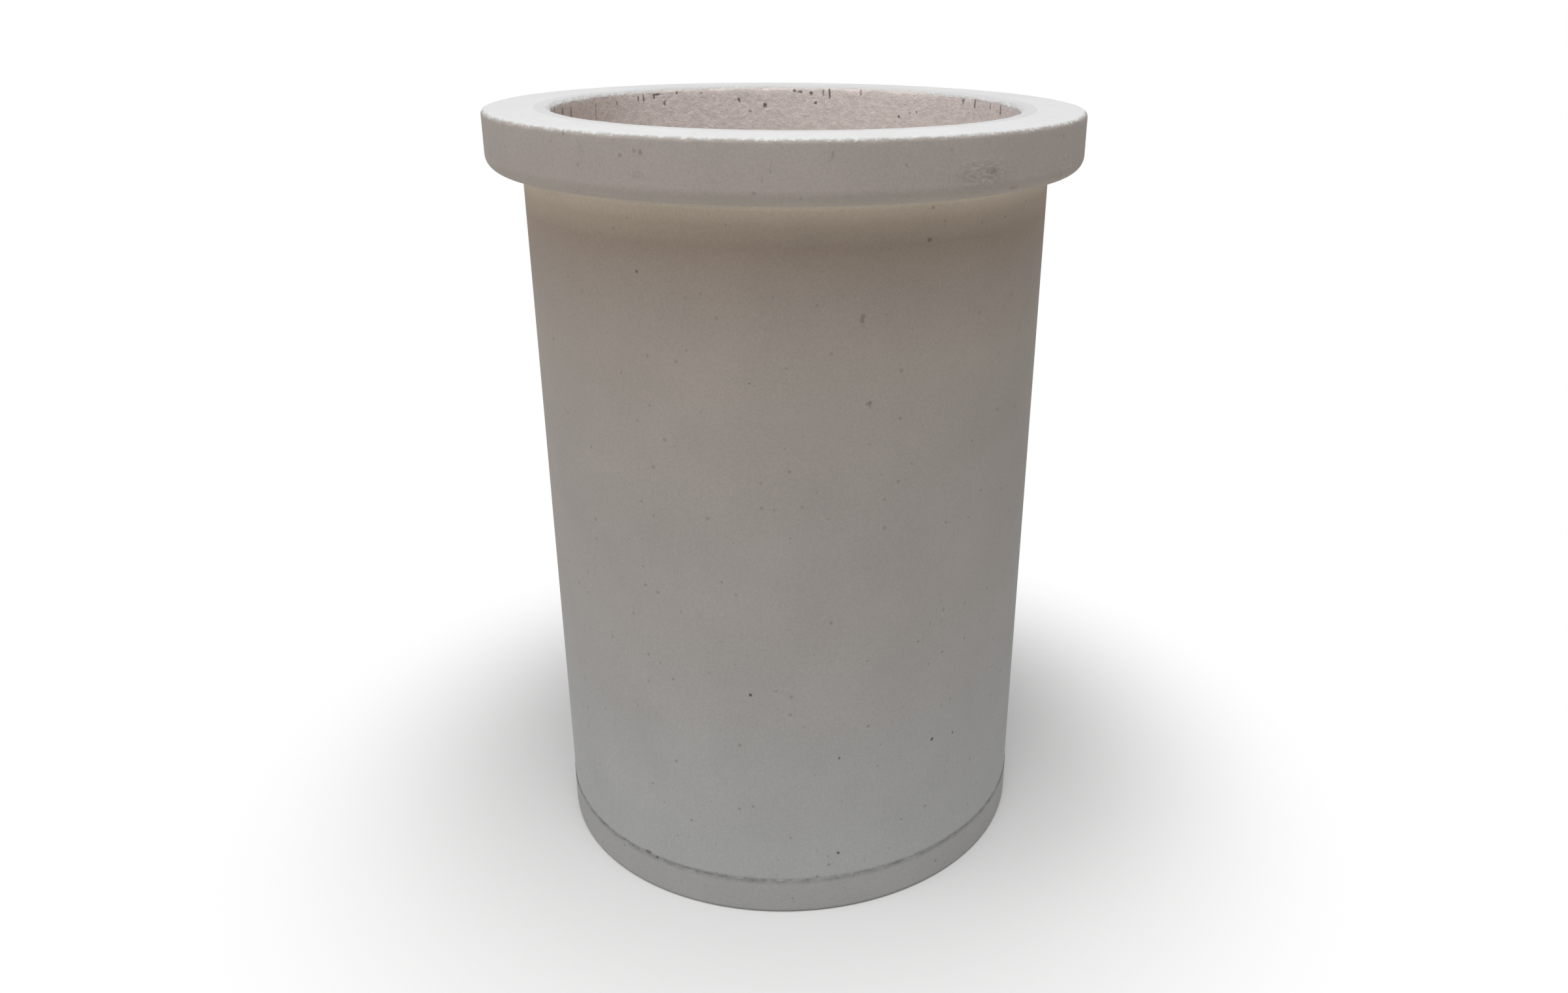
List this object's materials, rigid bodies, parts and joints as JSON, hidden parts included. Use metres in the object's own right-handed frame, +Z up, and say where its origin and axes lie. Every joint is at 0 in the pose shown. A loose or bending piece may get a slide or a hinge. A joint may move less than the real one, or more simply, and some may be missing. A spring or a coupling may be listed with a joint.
{
  "type": "foundry crucible",
  "caption": "Round open-topped foundry crucible with a gently tapered wall, a flat floor and a thick flat-topped collar round its mouth, for holding molten metal.",
  "frame": {"origin": "centre of the foot, on the surface the crucible stands on", "axes": "+Z up along the axis, out of the mouth; X and Y lie across it in any two directions, since the pot is round"},
  "size_m": [0.388, 0.3878, 0.5],
  "materials": {
    "fused_silica": "matt slip-cast skin, greige, with a near-white worn top face and a faint parting line above the foot"
  },
  "bodies": {
    "root": {"crucible": "fused_silica"}
  },
  "joints": []
}
